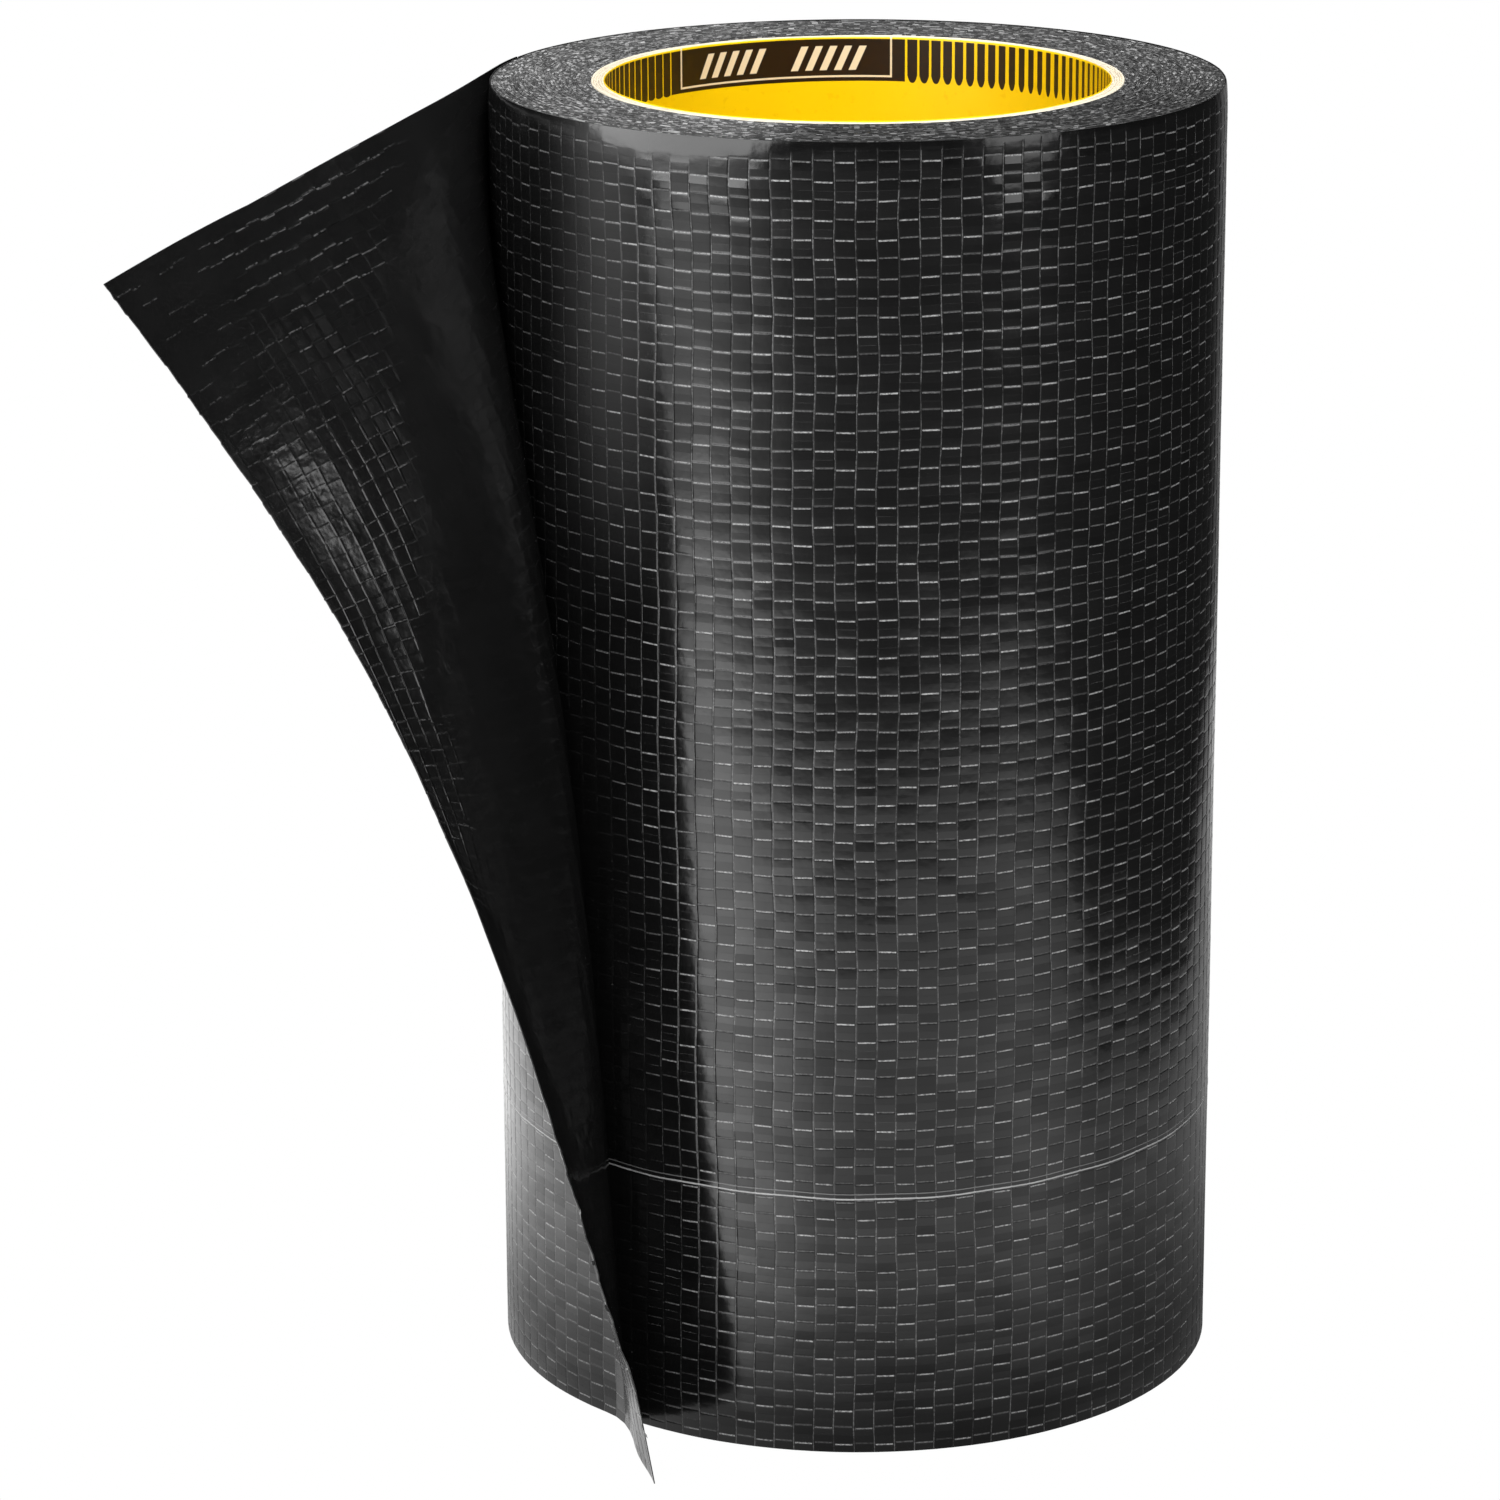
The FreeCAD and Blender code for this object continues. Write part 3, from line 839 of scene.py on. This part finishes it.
def bilinear(table, row, column):
    """Table value at fractional rows and columns."""
    rows, columns = table.shape[:2]
    i = np.clip(np.floor(row).astype(int), 0, rows - 2)
    j = np.clip(np.floor(column).astype(int), 0, columns - 2)
    a, b = (row - i)[..., None], (column - j)[..., None]
    low = table[i, j] * (1 - b) + table[i, j + 1] * b
    high = table[i + 1, j] * (1 - b) + table[i + 1, j + 1] * b
    return low * (1 - a) + high * a


def make_tail():
    """The loose end, from its bonded root to its corner, as two closed sheets that meet."""
    shares = np.linspace(0, 1, TABLE_ROWS)
    longest = max(tail_row(s, np.array([0.0]))[1] for s in shares)
    runs = np.arange(0, longest + 4 * TABLE_STEP, TABLE_STEP)
    rows = [tail_row(s, runs) for s in shares]
    table = np.stack([r[0] for r in rows])
    totals = np.array([r[1] for r in rows])
    bonded = np.array([r[2] for r in rows])
    normals = grid_normals(table)

    u, v, groove = weave_grid(TURN_LENGTH, TURN_LENGTH + longest)
    up = v[:, 0]
    limit = np.interp(up / WIDTH, shares, totals)
    ragged = 0.10 * np.sin(up * 2.9) + 0.08 * np.sin(up * 7.7 + 1) + 0.05 * np.sin(up * 17.3)
    limit = limit + ragged * smooth(up / 3.0) * smooth((WIDTH - up) / 3.0) - 0.1
    lines = u[0] - TURN_LENGTH
    last = np.searchsorted(lines, limit - 0.12)
    # every row keeps its points up to the cut, where the last one is put
    inside = np.arange(len(lines)) <= last[:, None]
    index = np.cumsum(inside).reshape(u.shape) - 1
    kept = np.nonzero(inside)
    at_cut, cut = kept[1] == last[kept[0]], limit[kept[0]]
    run = np.where(at_cut, cut, lines[kept[1]])
    pu, pv, pg = TURN_LENGTH + run, v[kept], np.where(at_cut, 0.0, groove[kept])
    run = run + wobble(u, v)[0][kept] * smooth(np.minimum(run, cut - run) / 5.0)
    share = drifted(pu, pv) / WIDTH

    def surface(u, v, share, run, relief):
        """Outer face, uneven middle, unit normal, free length and thinning at each place."""
        middle = bilinear(table, share * (TABLE_ROWS - 1), run / TABLE_STEP)
        normal = bilinear(normals, share * (TABLE_ROWS - 1), run / TABLE_STEP)
        normal /= np.linalg.norm(normal, axis=-1, keepdims=True)
        free = run - np.interp(share, shares, bonded)
        gap = np.interp(share, shares, totals) - run
        bow = 0.16 * waves(u * 0.8, v * 0.8) * smooth((free - 6.0) / 20.0)
        crumple = smooth(1 - gap / 7.0) * smooth((58.0 - v) / 20.0)
        crumple = crumple * smooth((v - 6.0) / 8.0)
        folds = 0.12 * np.sin(v * 0.9) + 0.08 * np.sin(v * 2.1 + u * 0.7)
        bow = bow + crumple * folds
        bow = bow - tip_turn(v) * smooth(1 - gap / 16.0)
        middle_part = smooth((v - 60.0) / 40.0) * smooth((free - 20.0) / 20.0)
        bow = bow - BULGE * middle_part * np.sin(np.pi * np.clip(gap / BULGE_LENGTH, 0, 1))
        thin = 1 - 0.25 * smooth(1 - gap / 1.2)
        film = (TAPE / 2 + UNEVEN * (waves(u, v) - 1) + relief) * thin
        outer = middle + normal * (film + bow)[..., None]
        return outer, middle + normal * bow[..., None], normal, free, thin

    bare = surface(u, v, drifted(u, v) / WIDTH, u - TURN_LENGTH, 0.0)[0]
    shading = grid_normals(bare)[kept]
    relief = seam_rise(pv) - GROOVE * pg
    outer, middle, normal, free, thin = surface(pu, pv, share, run, relief)
    clear = 33.0 + 3.0 * np.sin(pv / 9.0) + 1.5 * np.sin(pv / 3.7 + pu / 5.0)
    imprint = smooth((free - clear) / 7.0)
    gap = np.interp(share, shares, totals) - run
    near_corner = smooth((pv - 128.0) / 25.0) * smooth((32.0 - gap) / 20.0)
    imprint = imprint * (1 - 0.85 * near_corner)
    back = -TAPE / 2 + (0.05 * pg - 0.03) * imprint
    inner = middle + normal * (back * thin)[:, None]

    faces = []
    for j in range(len(up) - 1):
        for k in range(len(lines) - 1):
            corners = (index[j, k], index[j, k + 1], index[j + 1, k + 1], index[j + 1, k])
            face = [int(c) for c in dict.fromkeys(corners)]
            if len(face) > 2:
                faces.append(face)
    side = middle @ CORNER_NORMAL - (CORNER_POINT @ CORNER_NORMAL - PIECE_SPLIT)
    beyond = [np.mean(side[f]) > 0 and np.mean(pu[f]) > TURN_LENGTH + 40 for f in faces]
    attributes = {
        "tape_u": pu, "tape_v": pv, "selvedge": selvedge_share(pu, pv), "imprint": imprint,
        "bright": np.ones(len(pu)), "lift": np.zeros(len(pu)), "dull": np.zeros(len(pu)),
    }
    near_faces = [f for f, b in zip(faces, beyond) if not b]
    far_faces = [f for f, b in zip(faces, beyond) if b]
    near = sheet_object("tail_sheet", outer, inner, near_faces, attributes, shading)
    far = sheet_object("tail_corner_sheet", outer, inner, far_faces, attributes, shading)
    near_parts, far_parts = ("tail_root", "swing_bend", "tail_flap"), ("corner_bend", "tail_corner")
    for obj, parts, bodies, point, across, reach in (
        (near, near_parts, ("roll", "tail_flap"), SWING_POINT, SWING_NORMAL, SWING_BLEND),
        (far, far_parts, ("tail_flap", "tail_corner"), CORNER_POINT, CORNER_NORMAL, CORNER_BLEND),
    ):
        layers = ("film", "cloth", "adhesive")
        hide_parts(*["%s_%s" % (part, layer) for part in parts for layer in layers])
        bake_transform(obj)
    return [near, far]


FRAY_ROOT = 1.6  # length of each slip held in the sheet
FRAY_STEPS = 8
FRAY_HALF = 0.035  # half its thickness
# Each slip: share of the tape's width, length, width and lean in degrees
FRAYS = (
    (0.10, 2.2, 1.0, 12.0), (0.13, 3.4, 0.8, -8.0), (0.16, 1.8, 1.2, 20.0), (0.03, 2.6, 0.7, -15.0),
)


def make_frays():
    """Torn ribbon ends on the cut edge: thin curled slips."""
    points, faces = [], []
    for share, length, width, lean in FRAYS:
        base = bezier([share], CUT_EDGE)[0]
        up = bezier([share + 0.01], CUT_EDGE)[0] - base
        up /= np.linalg.norm(up)
        total = tail_row(share, np.array([0.0]))[1]
        out = base - tail_row(share, np.array([total - 6.0]))[0][0]
        out /= np.linalg.norm(out)
        normal = np.cross(out, up)
        normal /= np.linalg.norm(normal)
        base = base + normal * float(tip_turn(share * WIDTH)) * np.sign(normal[0])
        turned = Matrix.Rotation(math.radians(lean), 3, Vector(normal))
        out = np.array(turned @ Vector(out))
        side = np.cross(normal, out)
        first = len(points)
        for i in range(FRAY_STEPS + 1):
            t = i / FRAY_STEPS
            half = width / 2 * (1 - 0.35 * t - 0.25 * math.sin(9 * t + share * 40) * t)
            curl = 0.35 * math.sin(2.4 * t + share * 50) * t
            centre = base + out * ((length + FRAY_ROOT) * t - FRAY_ROOT) + normal * curl
            for s, n in ((-1, -1), (1, -1), (1, 1), (-1, 1)):
                points.append(centre + side * half * s + normal * FRAY_HALF * n)
        for i in range(FRAY_STEPS):
            a, b = first + 4 * i, first + 4 * (i + 1)
            for k in range(4):
                m = (k + 1) % 4
                faces.append([a + k, b + k, b + m, a + m])
        faces.append([first, first + 1, first + 2, first + 3])
        end = first + 4 * FRAY_STEPS
        faces.append([end + 3, end + 2, end + 1, end])
    obj = make_object("frayed_threads", np.array(points), faces, None, None, (TORN,))
    on_roll(obj, "tape_cloth", "frayed_ribbons")


# ---- wound turns and core
RIDGE = ((0.0, 0.0), (0.28, 1.0), (0.78, 1.0))  # section of one turn's edge: place and height
PACK_STEPS, CORE_STEPS = 180, 240
RING_LIFTS = (0.0, -0.12, -0.05, -0.16, -0.08, -0.02)  # rims of the liner and plies, against WIDTH


def make_pack(inner_radius):
    """All the inner turns, each turn's edge a fine ridge on both end faces."""
    turns = int(round((PACK_RADIUS - inner_radius) / PITCH))
    lines = np.array([(i + place) / turns for i in range(turns) for place, _ in RIDGE] + [1.0])
    ridge = np.array([high for _, high in RIDGE] * turns + [0.4])
    order = np.minimum((lines * turns).astype(int), turns - 1)
    number = order[None, :].astype(float)
    theta = np.arange(0, TAU, TAU / PACK_STEPS)[:, None]
    level = 0.045 * np.sin(number * 2.4 + 0.7) + 0.04 * np.sin(number * 1.13 + theta + 1.9)
    level = level + 0.03 * np.sin(3 * theta + number * 0.8)
    level = level + 0.02 * np.sin(7 * theta + number * 1.7)
    drop = 0.16 + 0.10 * (1 - ridge[None, :]) - level
    wrapped = (theta - SPLICE + 1e-6) % TAU
    grown = PITCH * (1 - np.cos(np.clip(wrapped - math.pi, 0, math.pi))) / 2
    rim = PACK_RADIUS + PITCH - TAPE - 0.02 + grown
    radius = inner_radius + (rim - inner_radius) * lines[None, :]
    steps, count = radius.shape
    drawn_in = radius - CURL * lines[None, :]
    top = np.stack([drawn_in * np.cos(theta), drawn_in * np.sin(theta), WIDTH - drop], -1)
    bottom = np.stack([radius * np.cos(theta), radius * np.sin(theta), drop * 0.5], -1)
    points = np.concatenate([top.reshape(-1, 3), bottom.reshape(-1, 3)])
    shift = steps * count
    faces = []
    for i in range(steps):
        a, b = i * count, ((i + 1) % steps) * count
        for j in range(count - 1):
            faces.append([a + j, a + j + 1, b + j + 1, b + j])
            faces.append([shift + b + j, shift + b + j + 1, shift + a + j + 1, shift + a + j])
        faces.append([a, b, shift + b, shift + a])
        last = count - 1
        faces.append([b + last, a + last, shift + a + last, shift + b + last])
    obj = make_object("wound_pack", points, faces, None, None, (PACK,))
    on_roll(obj, "tape_edges", "wound_turns")


def make_core():
    """Printed liner and the board plies, each with softened rims; returns the outer radius."""
    inner = float(node_box("core_liner")[1][0]) - LINER
    plies = ["core_liner"] + ["core_ply_%d" % (i + 1) for i in range(4)] + ["core_face_ply"]
    for order, node in enumerate(plies):
        outer = float(node_box(node)[1][0])
        soft = min(0.10, (outer - inner) * 0.35)
        lift = RING_LIFTS[order]
        material, slot, heights = KRAFT, "kraft_board", [WIDTH / 2]
        if node == "core_liner":
            material, slot = LINER_PRINT, "printed_liner"
            heights = [0.5, 5, 60, 120, 180, WIDTH - 7, WIDTH - 0.5]
        elif node == "core_face_ply":
            material, slot = FACE_BOARD, "face_board"
        profile = (
            [(inner + soft, 0.0 - lift), (inner, soft - lift)] + [(inner, h) for h in heights]
            + [(inner, WIDTH - soft + lift), (inner + soft, WIDTH + lift)]
            + [(outer - soft, WIDTH + lift), (outer, WIDTH - soft + lift), (outer, WIDTH / 2)]
            + [(outer, soft - lift), (outer - soft, 0.0 - lift)]
        )
        obj = ring_object(node + "_shape", profile[::-1], CORE_STEPS, material, order)
        on_roll(obj, slot, node)
        inner = outer + CORE_GAP
    return inner


make_pack(make_core())
TURN = make_turn()
TAIL = make_tail()
make_frays()

# ---- camera, floor and light
CAMERA_PLACE = (0.0, -0.8187, 0.3372)
CAMERA_YAW, CAMERA_PITCH, CAMERA_ROLL = 1.164, 16.525, -0.25
CAMERA_LENS, CAMERA_SENSOR = 131.3, 36.0


def make_camera():
    data = bpy.data.cameras.new("camera")
    data.lens = CAMERA_LENS
    data.sensor_width = CAMERA_SENSOR
    data.clip_start = 0.01
    camera = link("camera", data)
    turn = Matrix.Rotation(math.radians(CAMERA_YAW), 4, "Z")
    tilt = Matrix.Rotation(math.radians(90 - CAMERA_PITCH), 4, "X")
    roll = Matrix.Rotation(math.radians(CAMERA_ROLL), 4, "Z")
    camera.matrix_world = Matrix.Translation(CAMERA_PLACE) @ turn @ tilt @ roll
    bpy.context.scene.camera = camera


def make_light(name, place, target, size, power, seen=True):
    """Soft box facing a point."""
    data = bpy.data.lights.new(name, "AREA")
    data.shape = "RECTANGLE"
    data.size, data.size_y = size
    data.energy = power
    light = link(name, data)
    aim = Vector(target) - Vector(place)
    turned = aim.to_track_quat("-Z", "Y").to_matrix().to_4x4()
    light.matrix_world = Matrix.Translation(place) @ turned
    light.visible_camera = False
    light.visible_glossy = seen
    return light


# Painted light: how strongly the floor glows in reflections, by azimuth from the camera's side
# (degrees, right positive): near the roll, far from it, and how far out the change comes.
GLOW_NEAR = (
    (-180, 1.2), (-120, 1.7), (-90, 1.9), (-62, 2.6), (-46, 3.0), (-36, 2.8), (-19, 1.85),
    (-8, 1.2), (6, 0.95), (32, 0.95), (48, 1.1), (58, 0.9), (72, 0.62), (95, 0.45),
    (110, 0.40), (125, 0.38), (145, 0.4), (180, 1.4),
)
GLOW_FAR = (
    (-180, 0.5), (-120, 0.2), (-89, 0.4), (-66, 0.95), (-46, 1.4), (-37, 0.95), (-19, 0.32),
    (6, 0.18), (51, 0.17), (71, 0.12), (95, 0.07), (110, 0.05), (125, 0.03), (145, 0.03),
    (165, 0.3), (180, 0.5),
)
GLOW_REACH = (
    (-180, 0.40), (-90, 0.50), (-46, 0.58), (-37, 0.54), (-19, 0.42), (6, 0.37), (32, 0.43),
    (51, 0.44), (64, 0.37), (74, 0.24), (95, 0.21), (110, 0.20), (125, 0.23), (145, 0.40),
    (180, 0.45),
)
GLOW_SOFT = 0.17
FLOOR_HALF, FLOOR_HEIGHT = 3000.0, -0.4  # millimetres
CONTACT_SHADE, CONTACT_NEAR, CONTACT_FAR = 0.26, 0.066, 0.135  # painted contact shadow: the floor's glow is dimmer close to the roll


def floor_material():
    """Pale floor: evenly white to the camera; to everything else it glows unevenly by azimuth,
    painted light in place of studio lamps, with a painted contact shadow near the roll.
    """
    g = Graph("floor")
    rays = g.node("ShaderNodeLightPath")
    distance, x, y, _ = g.polar(g.node("ShaderNodeNewGeometry").outputs["Position"])
    azimuth = g.mul(g.math("ARCTAN2", x, g.mul(y, -1.0)), 360.0 / TAU)
    near = g.steps(azimuth, GLOW_NEAR, -180.0, 180.0, 3.0)
    far = g.steps(azimuth, GLOW_FAR, -180.0, 180.0, 3.0)
    reach = g.steps(azimuth, GLOW_REACH, -180.0, 180.0, 1.0)
    uneven = g.noise(g.join(x, y), 7.0, 2.0, 0.5)
    reach = g.add(reach, g.mul(g.sub(uneven, 0.5), 0.12))
    inside = g.fall(g.math("DIVIDE", distance, reach), 1 - GLOW_SOFT, 1 + GLOW_SOFT)
    strength = g.blend(inside, far, near)
    # Painted contact shadow: the floor's glow dims close to the roll.
    painted_contact_shadow = g.remap(distance, CONTACT_NEAR, CONTACT_FAR, CONTACT_SHADE, 1.0)
    strength = g.mul(strength, painted_contact_shadow)
    glow = g.node("ShaderNodeEmission", {"Color": (1, 1, 1, 1), "Strength": strength})
    white = g.node("ShaderNodeEmission", {"Color": (1, 1, 1, 1), "Strength": 1.0})
    shares = {0: rays.outputs["Is Camera Ray"], 1: glow.outputs[0], 2: white.outputs[0]}
    choose = g.node("ShaderNodeMixShader", shares)
    output = g.tree.nodes["Material Output"]
    g.tree.links.new(choose.outputs[0], output.inputs["Surface"])
    g.tree.nodes.remove(g.shader)
    return g.material


def make_floor():
    sides = ((-1, -1), (1, -1), (1, 1), (-1, 1))
    corners = [(x * FLOOR_HALF, y * FLOOR_HALF, FLOOR_HEIGHT) for x, y in sides]
    make_object("floor", corners, [[0, 1, 2, 3]], materials=(floor_material(),))


def make_world():
    """White to the camera, nearly dark to everything else."""
    world = bpy.data.worlds.new("studio")
    world.use_nodes = True
    tree = world.node_tree
    background = tree.nodes["Background"]
    rays = tree.nodes.new("ShaderNodeLightPath")
    ramp = tree.nodes.new("ShaderNodeMapRange")
    tree.links.new(rays.outputs["Is Camera Ray"], ramp.inputs[0])
    ramp.inputs[3].default_value = 0.02
    ramp.inputs[4].default_value = 1.0
    background.inputs["Color"].default_value = (1, 1, 1, 1)
    tree.links.new(ramp.outputs[0], background.inputs["Strength"])
    bpy.context.scene.world = world


make_camera()
make_world()
bpy.context.scene.view_settings.view_transform = "Standard"
make_floor()
UPPER_ROLL = (0, 0, 0.15)
make_light("overhead", (0.05, -0.15, 1.30), (0, 0, 0.1), (0.6, 0.5), 7.0)
key = make_light("key", (-0.935, -0.903, 0.52), UPPER_ROLL, (0.75, 0.80), 7.0)
wide_key = make_light("wide_key", (-1.09, -0.71, 0.52), UPPER_ROLL, (1.55, 0.80), 17.5)
right_box = make_light("right_box", (1.02, -0.85, 0.50), UPPER_ROLL, (0.50, 0.80), 3.2)
make_light("bore_light", (0.1, -0.5, 0.9), (0, 0.03, 0.19), (0.25, 0.25), 9.0, seen=False)
side = make_light("side", (1.28, -0.10, 0.40), (-0.06, -0.06, 0.14), (0.55, 0.60), 3.2)
not_turn = [o for o in bpy.data.objects if o.type == "MESH" and o is not TURN]
for light, receivers in ((side, TAIL), (wide_key, [TURN]), (right_box, [TURN]), (key, not_turn)):
    lit = bpy.data.collections.new(light.name + "_lit")
    for obj in receivers:
        lit.objects.link(obj)
    light.light_linking.receiver_collection = lit
